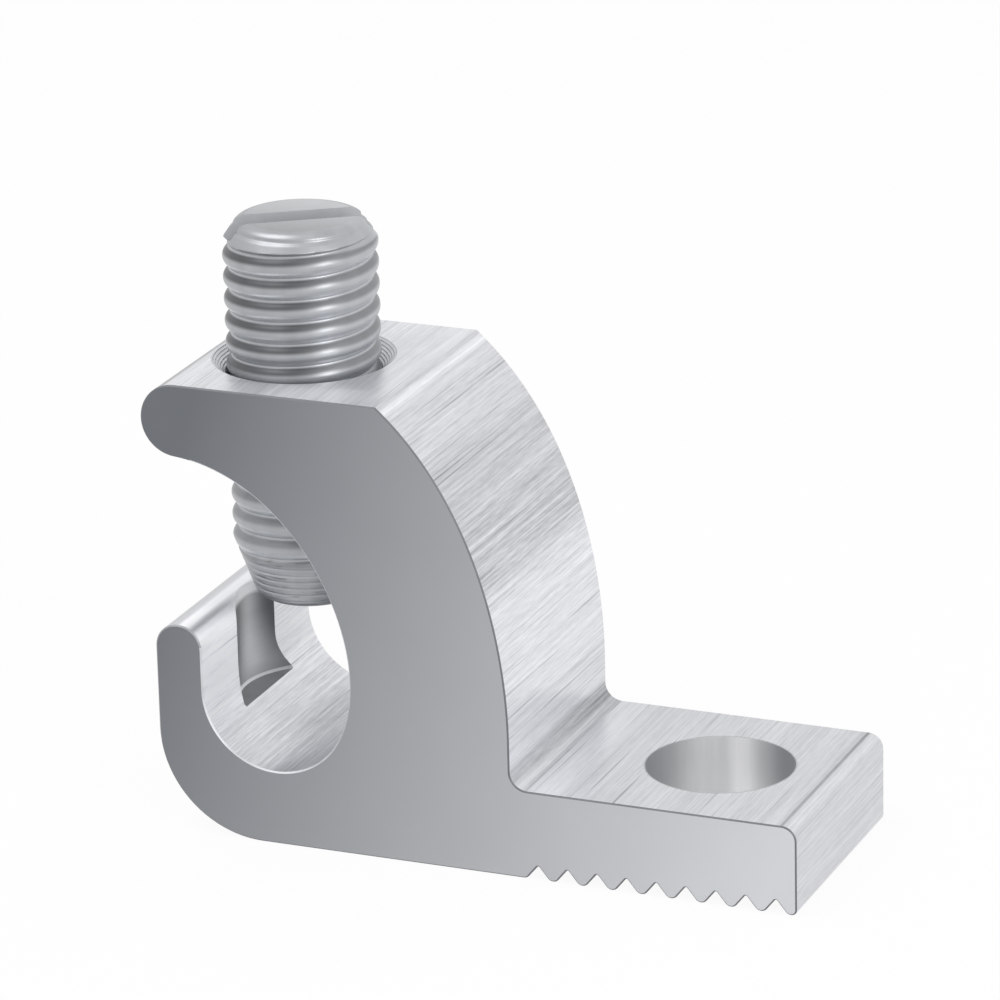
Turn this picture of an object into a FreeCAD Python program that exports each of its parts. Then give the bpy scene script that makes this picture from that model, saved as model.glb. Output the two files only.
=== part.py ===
import FreeCAD, Part
import math
import os

# A lay-in lug in millimetres, +Z up. The origin is the centre of the tang's mounting hole, on the
# flat underside. +X runs along the tang, away from the jaw, and Y is the width of the extrusion.
# The body is one length of extruded bar: a side profile in the X-Z plane, carried along Y, then
# drilled from above. The set screw stands in the beak of the jaw, over the conductor channel.

Vector = FreeCAD.Vector

# Width of the extrusion, and where the screw stands from the mounting hole
body_width = 10.45
screw_to_hole = 17.6

# Jaw: height over the underside, and the round nose of the beak
jaw_height = 19.05
nose_radius = 1.5
nose_offset = 3.34          # from the screw axis to the nose's centre, away from the tang
nose_turn = 5.0             # degrees by which the nose's round runs on under the beak

# Conductor channel: a round seat, and a throat that sweeps from it up to the nose
seat_radius = 3.12
seat_offset = 0.52          # from the screw axis to the seat's centre, towards the tang
seat_wall = 3.12            # metal under the seat
seat_turn = 35.0            # degrees above the horizontal where the throat takes over
throat_lower_pull = 0.31    # how hard each end of the throat holds its direction, as a share of
throat_upper_pull = 0.435   # the straight distance between the ends

# Lip in front of the channel, and the large round at its heel
lip_thickness = 2.0
lip_height = 8.9
heel_radius = 4.4

# Back of the jaw, from the ridge down to the tang
ridge_offset = 5.34         # from the screw axis to the ridge
ridge_angle = 40.4          # degrees below the horizontal where the back starts
back_rise = 1.97            # from the tang's top to where the back turns upright
back_upper_pull = 0.40
back_lower_pull = 0.24
back_offset = 6.94          # from the mounting hole to the upright foot of the back
inner_fillet = 0.74

# Tang
tang_thickness = 3.71
tang_end = 5.06             # from the mounting hole to the end face
end_round = 0.62
foot_round = 0.24           # where the last tooth runs up into the end face
hole_radius = 3.0

# Serrations under the tang
tooth_count = 9
tooth_pitch = 1.25
tooth_depth = 0.56
tooth_tip_radius = 0.3
tooth_root_radius = 0.06

# Set screw, with the thread that the beak is drilled for
screw_radius = 3.12
screw_length = 15.87
screw_tip_height = 9.0      # how high the tip stands over the underside
thread_pitch = 0.907
thread_depth = 0.42
crest_width = 0.36
tip_radius = 2.0
tip_chamfer = 0.3
tip_cone_height = 2.3
top_chamfer = 0.62
top_chamfer_height = 0.9
slot_width = 1.3
slot_depth = 1.0
slot_turn = 32.5            # degrees from +X

# Screw hole: clear of the thread's crests, countersunk at the top of the beak
thread_clearance = 0.05
mouth_radius = 3.74
mouth_depth = 0.6
drill_floor = 4.6           # where the drill stops in the lip, over the underside

# How far a cutter runs past what it cuts
overrun = 1.0

# Worked out from the sizes above
screw_x = -screw_to_hole
bore_radius = screw_radius + thread_clearance
seat_x = screw_x + seat_offset
seat_z = seat_wall + seat_radius
lip_inner_x = seat_x - seat_radius
lip_outer_x = lip_inner_x - lip_thickness
back_x = -back_offset
last_tip_x = tang_end - foot_round
ridge = Vector(screw_x + ridge_offset, 0, jaw_height)


def on_circle(x, z, radius, degrees):
    """A point of a circle in the X-Z plane."""
    angle = math.radians(degrees)
    return Vector(x + radius * math.cos(angle), 0, z + radius * math.sin(angle))


def heading(degrees):
    """A direction of length 1 in the X-Z plane."""
    return on_circle(0, 0, 1, degrees)


def line(start, end):
    return Part.LineSegment(start, end).toShape()


def arc(x, z, radius, first, last):
    """The arc about (x, z) from one angle to another, in degrees, whichever way that turns."""
    ends = [on_circle(x, z, radius, degrees) for degrees in (first, (first + last) / 2, last)]
    return Part.Arc(*ends).toShape()


def sweep(start, start_way, end, end_way, start_pull, end_pull):
    """A smooth curve between two points that leaves each along its own direction."""
    reach = (end - start).Length
    curve = Part.BezierCurve()
    curve.setPoles([start, start + start_way * (start_pull * reach),
                    end + end_way * (end_pull * reach), end])
    return curve.toShape()


def beak_edges():
    """From the ridge over the nose and down the throat to the seat."""
    nose_x = screw_x - nose_offset
    nose_z = jaw_height - nose_radius
    nose_end = 270 - nose_turn
    nose_top = on_circle(nose_x, nose_z, nose_radius, 90)
    under_nose = on_circle(nose_x, nose_z, nose_radius, nose_end)
    seat_start = on_circle(seat_x, seat_z, seat_radius, -seat_turn)
    return [line(ridge, nose_top),
            arc(nose_x, nose_z, nose_radius, 90, nose_end),
            sweep(under_nose, heading(-nose_turn), seat_start, heading(90 - seat_turn),
                  throat_upper_pull, throat_lower_pull)]


def lip_edges():
    """Round the seat, up the inside of the lip, over its round top and down to the heel."""
    top_radius = lip_thickness / 2
    top_x = lip_inner_x - top_radius
    top_z = lip_height - top_radius
    heel_x = lip_outer_x + heel_radius
    return [arc(seat_x, seat_z, seat_radius, -seat_turn, -180),
            line(Vector(lip_inner_x, 0, seat_z), Vector(lip_inner_x, 0, top_z)),
            arc(top_x, top_z, top_radius, 0, 180),
            line(Vector(lip_outer_x, 0, top_z), Vector(lip_outer_x, 0, heel_radius)),
            arc(heel_x, heel_radius, heel_radius, 180, 270)]


def tooth_edges():
    """The serrations, from the flat under the jaw to the foot of the end face."""
    half = tooth_pitch / 2
    tip_z = tooth_tip_radius
    root_z = tooth_depth - tooth_root_radius
    # Each flank touches a round tip and, on its other side, a round root at this angle
    rise = root_z - tip_z
    lean = math.acos((tooth_tip_radius + tooth_root_radius) / math.hypot(half, rise))
    turn = math.degrees(math.atan2(rise, half) - lean)
    edges = []
    for number in range(tooth_count):
        left = last_tip_x - (tooth_count - number) * tooth_pitch
        root = left + half
        right = left + tooth_pitch
        edges.append(arc(left, tip_z, tooth_tip_radius, 270, 360 + turn))
        edges.append(line(on_circle(left, tip_z, tooth_tip_radius, turn),
                          on_circle(root, root_z, tooth_root_radius, 180 + turn)))
        edges.append(arc(root, root_z, tooth_root_radius, 180 + turn, -turn))
        edges.append(line(on_circle(root, root_z, tooth_root_radius, -turn),
                          on_circle(right, tip_z, tooth_tip_radius, 180 - turn)))
        edges.append(arc(right, tip_z, tooth_tip_radius, 180 - turn, 270))
    return edges


def tang_edges():
    """Round the end of the tang, along its top and up the back of the jaw to the ridge."""
    round_x = tang_end - end_round
    round_z = tang_thickness - end_round
    fillet_x = back_x + inner_fillet
    fillet_z = tang_thickness + inner_fillet
    foot = Vector(back_x, 0, tang_thickness + back_rise)
    return [arc(last_tip_x, foot_round, foot_round, 270, 360),
            line(Vector(tang_end, 0, foot_round), Vector(tang_end, 0, round_z)),
            arc(round_x, round_z, end_round, 0, 90),
            line(Vector(round_x, 0, tang_thickness), Vector(fillet_x, 0, tang_thickness)),
            arc(fillet_x, fillet_z, inner_fillet, 270, 180),
            line(Vector(back_x, 0, fillet_z), foot),
            sweep(foot, heading(90), ridge, heading(-ridge_angle),
                  back_lower_pull, back_upper_pull)]


def body_profile():
    """The side face of the extrusion, closed."""
    first_tip = last_tip_x - tooth_count * tooth_pitch
    heel_end = Vector(lip_outer_x + heel_radius, 0, 0)
    edges = beak_edges() + lip_edges()
    edges.append(line(heel_end, Vector(first_tip, 0, 0)))
    edges += tooth_edges() + tang_edges()
    return Part.Face(Part.Wire(edges))


def lug_body():
    """The extruded bar with its mounting hole, and the screw hole drilled on into the lip."""
    face = body_profile()
    face.translate(Vector(0, -body_width / 2, 0))
    bar = face.extrude(Vector(0, body_width, 0))
    mounting_hole = Part.makeCylinder(hole_radius, tang_thickness + 2 * overrun,
                                      Vector(0, 0, -overrun))
    drill_length = jaw_height - drill_floor + overrun
    drill = Part.makeCylinder(bore_radius, drill_length, Vector(screw_x, 0, drill_floor))
    widening = (mouth_radius - bore_radius) / mouth_depth
    mouth = Part.makeCone(bore_radius, mouth_radius + widening * overrun, mouth_depth + overrun,
                          Vector(screw_x, 0, jaw_height - mouth_depth))
    return bar.cut([mounting_hole, drill, mouth])


def thread_rod():
    """A rod with ridges of the thread's section, drawn as rings, one to a pitch."""
    root_radius = screw_radius - thread_depth
    flank = (thread_pitch - crest_width) / 2
    ridges = math.ceil(screw_length / thread_pitch)
    corners = [Vector(0, 0, 0), Vector(root_radius, 0, 0)]
    for number in range(ridges):
        low = number * thread_pitch
        crest = low + flank
        corners += [Vector(screw_radius, 0, crest), Vector(screw_radius, 0, crest + crest_width),
                    Vector(root_radius, 0, low + thread_pitch)]
    corners.append(Vector(0, 0, ridges * thread_pitch))
    section = Part.Face(Part.makePolygon(corners + corners[:1]))
    return section.revolve(Vector(0, 0, 0), Vector(0, 0, 1), 360)


def screw_envelope():
    """What the thread is trimmed to: a chamfered tip, a slow cone, and a chamfered top."""
    corners = [Vector(0, 0, 0),
               Vector(tip_radius, 0, 0),
               Vector(tip_radius + tip_chamfer, 0, tip_chamfer),
               Vector(screw_radius, 0, tip_chamfer + tip_cone_height),
               Vector(screw_radius, 0, screw_length - top_chamfer_height),
               Vector(screw_radius - top_chamfer, 0, screw_length),
               Vector(0, 0, screw_length)]
    section = Part.Face(Part.makePolygon(corners + corners[:1]))
    return section.revolve(Vector(0, 0, 0), Vector(0, 0, 1), 360)


def set_screw():
    """The slotted screw, standing in the beak with its tip over the channel."""
    screw = thread_rod().common(screw_envelope())
    slot_length = 2 * (screw_radius + overrun)
    slot = Part.makeBox(slot_length, slot_width, slot_depth + overrun)
    slot.translate(Vector(-slot_length / 2, -slot_width / 2, screw_length - slot_depth))
    slot.rotate(Vector(0, 0, 0), Vector(0, 0, 1), slot_turn)
    screw = screw.cut(slot)
    screw.translate(Vector(screw_x, 0, screw_tip_height))
    return screw


os.makedirs("parts", exist_ok=True)
for name, shape in (("lug_body", lug_body()), ("set_screw", set_screw())):
    print(name, shape.ShapeType, shape.isValid(), round(shape.Volume, 3), len(shape.Solids),
          len(shape.Faces))
    shape.exportStep("parts/" + name + ".step")
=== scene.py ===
"""Looks of a lay-in lug: an extruded aluminium jaw and tang, and the slotted set screw in its beak.

All sizes are in millimetres in the dataclasses and become metres where a mesh is made.
"""

from __future__ import annotations

import logging
import math
from dataclasses import dataclass, field
from enum import Enum
from functools import cached_property
from typing import Any

import bpy
import numpy as np
from mathutils import Matrix, Vector

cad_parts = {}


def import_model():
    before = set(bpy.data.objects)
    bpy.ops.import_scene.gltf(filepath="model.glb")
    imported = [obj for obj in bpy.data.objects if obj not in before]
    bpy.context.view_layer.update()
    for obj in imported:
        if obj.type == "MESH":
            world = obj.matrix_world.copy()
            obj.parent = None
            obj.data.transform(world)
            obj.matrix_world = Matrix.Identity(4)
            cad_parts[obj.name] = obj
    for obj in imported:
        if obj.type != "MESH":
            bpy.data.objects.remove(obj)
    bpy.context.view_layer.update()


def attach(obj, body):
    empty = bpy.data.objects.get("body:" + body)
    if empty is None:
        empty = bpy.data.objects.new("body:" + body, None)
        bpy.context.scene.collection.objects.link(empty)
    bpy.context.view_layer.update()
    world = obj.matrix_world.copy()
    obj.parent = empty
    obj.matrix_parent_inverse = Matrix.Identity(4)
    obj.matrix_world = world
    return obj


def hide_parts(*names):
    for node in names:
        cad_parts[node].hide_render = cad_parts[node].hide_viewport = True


LOG = logging.getLogger("lay_in_lug")
MM = 0.001
TURN = 2 * math.pi
OVERRUN = 1.0  # how far a cutter runs past what it cuts
WHITE = (1.0, 1.0, 1.0, 1.0)
Pair = tuple[float, float]
Span = tuple[Pair, Pair]
Triple = tuple[float, float, float]


class Finish(Enum):
    """Which finish a face of the jaw wears, by its material slot."""

    DRAWN = 0
    SAWN = 1
    # The three edge finishes are painted edge lines: painted shade, softer painted shade and a painted
    # highlight
    SHADE_LINE_EDGE = 2
    SOFT_SHADE_EDGE = 3
    HIGHLIGHT_EDGE = 4
    TANG_BORE = 5
    DRILLED = 6
    DRILL_FLOOR = 7
    MOUTH = 8


class Steel(Enum):
    """Which finish a face of the screw wears, by its material slot."""

    THREAD = 0
    TOP = 1
    SLOT = 2


def turned(points: np.ndarray, degrees: float) -> np.ndarray:
    """Turn points of a plane about its origin.

    Args:
        points: Pairs of coordinates, one to a row.
        degrees: The turn, positive from the first axis to the second.

    Returns:
        The turned pairs.
    """
    angle = math.radians(degrees)
    cosine, sine = math.cos(angle), math.sin(angle)
    return points @ np.array([[cosine, sine], [-sine, cosine]])


def heading(degrees: float) -> np.ndarray:
    """The direction of length 1 at an angle in degrees."""
    angle = math.radians(degrees)
    return np.array([math.cos(angle), math.sin(angle)])


def arc(centre: Pair | np.ndarray, radius: float, first: float, last: float,
        step: float = 4.0) -> np.ndarray:
    """Points of a round: centre plus radius times the direction of each angle, both ends included.

    Args:
        centre: Centre of the round.
        radius: Its radius.
        first: Angle of the first point, in degrees.
        last: Angle of the last point, in degrees.
        step: Largest angle between two points, in degrees.

    Returns:
        The points, one to a row.
    """
    count = max(2, math.ceil(abs(last - first) / step) + 1)
    angles = np.radians(np.linspace(first, last, count))
    return np.array(centre) + radius * np.stack([np.cos(angles), np.sin(angles)], axis=1)


def eased(corner: Pair, arrive: float, leave: float, radius: float) -> np.ndarray:
    """The round that replaces the corner between two straight lines.

    It touches each line at radius times the tangent of half the turn from the corner.

    Args:
        corner: Where the lines would meet.
        arrive: Direction of the first line, in degrees.
        leave: Direction of the second line, in degrees.
        radius: Radius of the round.

    Returns:
        The points, one to a row.
    """
    turn = leave - arrive
    side = math.copysign(90.0, turn)
    start = np.array(corner) - heading(arrive) * (radius * math.tan(math.radians(abs(turn) / 2)))
    return arc(start + radius * heading(arrive + side), radius, arrive - side, leave - side, 6.0)


def sweep(start: np.ndarray, start_way: float, end: np.ndarray, end_way: float,
          start_pull: float, end_pull: float, count: int = 48) -> np.ndarray:
    """A cubic curve between two points that leaves each along its own direction.

    The pulls are shares of the straight distance between the ends, as on a bent batten.

    Args:
        start: First point.
        start_way: Direction in which the curve leaves it, in degrees.
        end: Last point.
        end_way: Direction in which the curve would leave that one, in degrees.
        start_pull: How hard the first end holds its direction.
        end_pull: How hard the last end holds its direction.
        count: Number of points.

    Returns:
        The points, one to a row.
    """
    reach = float(np.linalg.norm(end - start))
    first_handle = start + heading(start_way) * (start_pull * reach)
    last_handle = end + heading(end_way) * (end_pull * reach)
    share = np.linspace(0.0, 1.0, count)[:, None]
    rest = 1.0 - share
    return (rest**3 * start + 3 * rest**2 * share * first_handle
            + 3 * rest * share**2 * last_handle + share**3 * end)


def without_repeats(points: np.ndarray) -> np.ndarray:
    """A closed outline without the points that repeat the one before them."""
    apart = np.linalg.norm(points - np.roll(points, 1, axis=0), axis=1) > 1e-6
    return points[apart]


def drawn_in(outline: np.ndarray, inset: float) -> np.ndarray:
    """Move a closed outline inwards by the same distance everywhere.

    Each point moves along the sum of its two sides' normals, lengthened so that both sides
    move by the inset.

    Args:
        outline: Points in clockwise order, one to a row.
        inset: Distance.

    Returns:
        The moved points.
    """
    after = np.roll(outline, -1, axis=0) - outline
    after /= np.linalg.norm(after, axis=1, keepdims=True)
    before = np.roll(after, 1, axis=0)
    inward_after = np.stack([after[:, 1], -after[:, 0]], axis=1)
    inward_before = np.stack([before[:, 1], -before[:, 0]], axis=1)
    both = inward_after + inward_before
    return outline + inset * both * (2.0 / np.sum(both * both, axis=1, keepdims=True))


def grid_faces(rows: int, columns: int) -> np.ndarray:
    """Corners of the quads of a grid whose rows are closed rings, numbered row by row.

    Args:
        rows: Number of rows of points.
        columns: Number of points in a row.

    Returns:
        Four point numbers to a row.
    """
    row = np.arange(rows - 1)[:, None]
    column = np.arange(columns)[None, :]
    next_column = (column + 1) % columns
    corners = [row * columns + column, row * columns + next_column,
               (row + 1) * columns + next_column, (row + 1) * columns + column]
    return np.stack(corners, axis=-1).reshape(-1, 4)


def full_turn(count: int) -> np.ndarray:
    """Even angles once round an axis, as a row, in radians."""
    return np.linspace(0.0, TURN, count, endpoint=False)[None, :]


def make_object(name: str, points: np.ndarray, faces: list[list[int]],
                slots: np.ndarray | None = None) -> bpy.types.Object:
    """Put points and faces into a new mesh object at the origin.

    Args:
        name: The object's name.
        points: Points in millimetres, one to a row.
        faces: Point numbers of each face.
        slots: Material slot of each face, or None for the first slot everywhere.

    Returns:
        The new object, linked to the scene.
    """
    mesh = bpy.data.meshes.new(name)
    mesh.from_pydata((points * MM).tolist(), [], faces)
    if slots is not None:
        mesh.polygons.foreach_set("material_index", np.asarray(slots, np.int32))
    mesh.update()
    built = bpy.data.objects.new(name, mesh)
    bpy.context.scene.collection.objects.link(built)
    return built


def revolved(name: str, radii: np.ndarray, heights: np.ndarray, centre_x: float,
             row_slots: np.ndarray | None = None) -> bpy.types.Object:
    """A closed solid about an upright axis: each row of radii is a ring at its own height.

    A point lies at the axis plus its radius times the direction of its column's angle, and
    flat caps close the first and the last ring.

    Args:
        name: The object's name.
        radii: Radius of each point, rings by angles, in millimetres.
        heights: Height of each ring.
        centre_x: Where the axis stands along X.
        row_slots: Material slots of the lower cap, each band between two rings and the upper
            cap, or None for the first slot everywhere.

    Returns:
        The new object.
    """
    rings, columns = radii.shape
    angles = full_turn(columns)
    tall = np.broadcast_to(heights[:, None], radii.shape)
    points = np.stack([centre_x + radii * np.cos(angles), radii * np.sin(angles), tall], axis=-1)
    bottom, top = list(range(columns))[::-1], list(range((rings - 1) * columns, rings * columns))
    faces = [bottom, *grid_faces(rings, columns).tolist(), top]
    if row_slots is not None:
        row_slots = np.repeat(row_slots, [1] + [columns] * (rings - 1) + [1])
    return make_object(name, points.reshape(-1, 3), faces, row_slots)


def cut(target: bpy.types.Object, cutters: list[bpy.types.Object]) -> None:
    """Take cutters away from a solid and delete them.

    The result's faces keep the materials that they had, also those that a cutter leaves.

    Args:
        target: The solid, whose mesh is changed.
        cutters: Closed solids.
    """
    for cutter in cutters:
        modifier = target.modifiers.new(cutter.name, "BOOLEAN")
        modifier.operation = "DIFFERENCE"
        modifier.solver = "EXACT"
        modifier.material_mode = "TRANSFER"
        modifier.object = cutter
    graph = bpy.context.evaluated_depsgraph_get()
    mesh = bpy.data.meshes.new_from_object(target.evaluated_get(graph), depsgraph=graph)
    mesh.name = target.name
    target.modifiers.clear()
    spent = target.data
    target.data = mesh
    bpy.data.meshes.remove(spent)
    for cutter in cutters:
        bpy.data.objects.remove(cutter)


def smooth_rounds(target: bpy.types.Object, sharp_degrees: float) -> None:
    """Shade a mesh smooth but for its sharp edges.

    Args:
        target: The mesh object.
        sharp_degrees: An edge that turns by more than this stays sharp.
    """
    target.data.shade_smooth()
    target.data.set_sharp_from_angle(angle=math.radians(sharp_degrees))
    target.data.update()


class Number:
    """A number in a shader. Python's operators on it add Math nodes and give a new Number."""

    def __init__(self, shader: Shader, socket: bpy.types.NodeSocket) -> None:
        """Wrap a socket of a shader's tree."""
        self.shader = shader
        self.socket = socket

    def _math(self, operation: str, *values: Number | float) -> Number:
        """Add a Math node on some values and give its result."""
        node = self.shader.node("ShaderNodeMath", {"operation": operation}, dict(enumerate(values)))
        return Number(self.shader, node.outputs[0])

    def __add__(self, other: Number | float) -> Number:
        """The sum."""
        return self._math("ADD", self, other)

    __radd__ = __add__

    def __sub__(self, other: Number | float) -> Number:
        """The difference."""
        return self._math("SUBTRACT", self, other)

    def __rsub__(self, other: float) -> Number:
        """The difference from a plain number."""
        return self._math("SUBTRACT", other, self)

    def __mul__(self, other: Number | float) -> Number:
        """The product."""
        return self._math("MULTIPLY", self, other)

    __rmul__ = __mul__

    def __truediv__(self, other: Number | float) -> Number:
        """The quotient."""
        return self._math("DIVIDE", self, other)

    def __pow__(self, other: float) -> Number:
        """The power."""
        return self._math("POWER", self, other)

    def larger(self, other: Number | float) -> Number:
        """The larger of two numbers."""
        return self._math("MAXIMUM", self, other)

    def smaller(self, other: Number | float) -> Number:
        """The smaller of two numbers."""
        return self._math("MINIMUM", self, other)

    def size(self) -> Number:
        """The number without its sign."""
        return self._math("ABSOLUTE", self)

    def fraction(self) -> Number:
        """How far the number is above the whole number below it."""
        return self._math("FLOORED_MODULO", self, 1.0)

    def angle(self, other: Number) -> Number:
        """The angle, in radians, whose rise is this number and whose run is the other."""
        return self._math("ARCTAN2", self, other)

    def ramp(self, low: float, high: float, at_low: float = 0.0, at_high: float = 1.0) -> Number:
        """A smooth step from one value to another while this number goes from low to high."""
        return self._range({"interpolation_type": "SMOOTHSTEP"}, low, high, at_low, at_high)

    def line(self, low: float, high: float, at_low: float = 0.0, at_high: float = 1.0) -> Number:
        """A straight run from one value to another while this number goes from low to high."""
        return self._range({}, low, high, at_low, at_high)

    def fall(self, low: float, high: float) -> Number:
        """A smooth step from 1 down to 0 while this number goes from low to high."""
        return self.ramp(low, high, 1.0, 0.0)

    def between(self, comes: Pair, goes: Pair) -> Number:
        """1 between two soft ends: it rises from 0 over the first pair and falls over the second."""
        return self.ramp(*comes) * self.fall(*goes)

    def peak(self, centre: float, half: float) -> Number:
        """1 where this number is the centre, falling smoothly to 0 at half a width from it."""
        return (self - centre).size().fall(0.0, half)

    def _range(self, settings: dict[str, Any], *marks: float) -> Number:
        """Add a Map Range node with its low and high end and the values there."""
        inputs = dict(zip(("From Min", "From Max", "To Min", "To Max"), marks), Value=self)
        return Number(self.shader, self.shader.node("ShaderNodeMapRange", settings, inputs).outputs[0])


def total(parts: list[Number]) -> Number:
    """The sum of some Numbers."""
    return sum(parts[1:], parts[0])


class Shader:
    """The node tree of a material or of the world, with one method that adds any node."""

    def __init__(self, owner: bpy.types.Material | bpy.types.World) -> None:
        """Empty the owner's tree and keep it.

        Args:
            owner: The material or world whose tree is filled.
        """
        owner.use_nodes = True
        self.tree = owner.node_tree
        self.tree.nodes.clear()

    def node(self, kind: str, settings: dict[str, Any] | None = None,
             inputs: dict[str | int, Any] | None = None) -> bpy.types.Node:
        """Add a node.

        Args:
            kind: The node's type.
            settings: Its own settings, set first.
            inputs: Plain values, sockets or Numbers for its inputs, by name or place.

        Returns:
            The node.
        """
        made = self.tree.nodes.new(kind)
        for key, value in (settings or {}).items():
            setattr(made, key, value)
        for key, value in (inputs or {}).items():
            socket = made.inputs[key]
            if isinstance(value, Number):
                self.tree.links.new(value.socket, socket)
            elif isinstance(value, bpy.types.NodeSocket):
                self.tree.links.new(value, socket)
            else:
                socket.default_value = value
        return made

    def place(self, centre: Triple = (0.0, 0.0, 0.0),
              stretch: Triple = (1.0, 1.0, 1.0)) -> bpy.types.NodeSocket:
        """The point on the piece in millimetres from a centre, with each axis stretched.

        Args:
            centre: Where the point would be zero.
            stretch: Factor of each axis; a small one draws a noise out along that axis.

        Returns:
            The point's socket.
        """
        scale = tuple(share / MM for share in stretch)
        location = tuple(-middle * share for middle, share in zip(centre, stretch))
        coordinates = self.node("ShaderNodeTexCoord").outputs["Object"]
        mapping = self.node("ShaderNodeMapping", None,
                            {"Vector": coordinates, "Location": location, "Scale": scale})
        return mapping.outputs[0]

    def axes(self, centre: Triple = (0.0, 0.0, 0.0)) -> tuple[Number, Number, Number]:
        """The three coordinates of the point on the piece, in millimetres from a centre.

        Args:
            centre: Where they would be zero.

        Returns:
            X, Y and Z.
        """
        parts = self.node("ShaderNodeSeparateXYZ", None, {0: self.place(centre)})
        x, y, z = (Number(self, socket) for socket in parts.outputs)
        return x, y, z

    @cached_property
    def across(self) -> bpy.types.NodeSocket:
        """The point on the piece, moved along Y into the plane of the profile."""
        return self.place(stretch=(1.0, 0.0, 1.0))

    def off_line(self, place: Pair | np.ndarray) -> Number:
        """How far the point on the piece is from a line along Y.

        Args:
            place: The line's X and Z, in millimetres.

        Returns:
            The distance, in millimetres.
        """
        x, z = place
        inputs = {0: self.across, 1: (x, 0.0, z)}
        made = self.node("ShaderNodeVectorMath", {"operation": "DISTANCE"}, inputs)
        return Number(self, made.outputs["Value"])

    def noise(self, scale: float, stretch: Triple = (1.0, 1.0, 1.0), detail: float = 2.0,
              roughness: float = 0.5) -> Number:
        """A soft noise less its middle value, so from about -0.5 to 0.5.

        Args:
            scale: How many waves go to a millimetre.
            stretch: Factor of each axis.
            detail: How many finer layers it has.
            roughness: How strong they are.

        Returns:
            The noise.
        """
        inputs = {"Vector": self.place(stretch=stretch), "Scale": scale, "Detail": detail,
                  "Roughness": roughness}
        return Number(self, self.node("ShaderNodeTexNoise", None, inputs).outputs[0]) - 0.5

    def drawn_out(self, scale: float, along: float, detail: float = 2.0,
                  roughness: float = 0.5) -> Number:
        """A soft noise that is drawn out to lines along Y by the small factor of that axis."""
        return self.noise(scale, (1.0, along, 1.0), detail, roughness)

    def blend(self, share: Number | float, first: Triple, second: Triple) -> bpy.types.NodeSocket:
        """The colour that goes from the first to the second as the share goes from 0 to 1."""
        inputs = {0: share, 6: (*first, 1.0), 7: (*second, 1.0)}
        return self.node("ShaderNodeMix", {"data_type": "RGBA"}, inputs).outputs[2]

    def scaled(self, colour: bpy.types.NodeSocket | Triple, factor: Number) -> bpy.types.NodeSocket:
        """A colour times a number."""
        made = self.node("ShaderNodeVectorMath", {"operation": "SCALE"}, {0: colour, "Scale": factor})
        return made.outputs[0]

    def bump(self, height: Number, distance: float) -> bpy.types.NodeSocket:
        """The normal that a height gives, at a distance in millimetres for a height of 1."""
        return self.node("ShaderNodeBump", None, {"Height": height, "Distance": distance * MM}).outputs[0]

    def finish(self, inputs: dict[str, Any]) -> None:
        """End the tree in a Principled surface with these inputs."""
        surface = self.node("ShaderNodeBsdfPrincipled", None, inputs)
        self.node("ShaderNodeOutputMaterial", None, {"Surface": surface.outputs[0]})

    def seen_directly(self) -> Number:
        """Which rays meet the background as the camera would.

        Returns:
            1 for rays from the camera, in a reflection or through glass, and 0 for others.
        """
        rays = self.node("ShaderNodeLightPath")
        camera, glossy, through = (Number(self, rays.outputs[f"Is {kind} Ray"])
                                   for kind in ("Camera", "Glossy", "Transmission"))
        return camera.larger(glossy).larger(through)


@dataclass(frozen=True)
class Band:
    """A line along Y at a place on the profile, paler than the rest or darker by a negative gain.

    The gain is whole up to the near distance from the line, and gone from the far one on.
    """

    place: Pair | np.ndarray
    near: float
    far: float
    gain: float

    def painted(self, shader: Shader) -> Number:
        """The gain at the point on the piece."""
        return shader.off_line(self.place).ramp(self.near, self.far, self.gain, 0.0)


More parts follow.
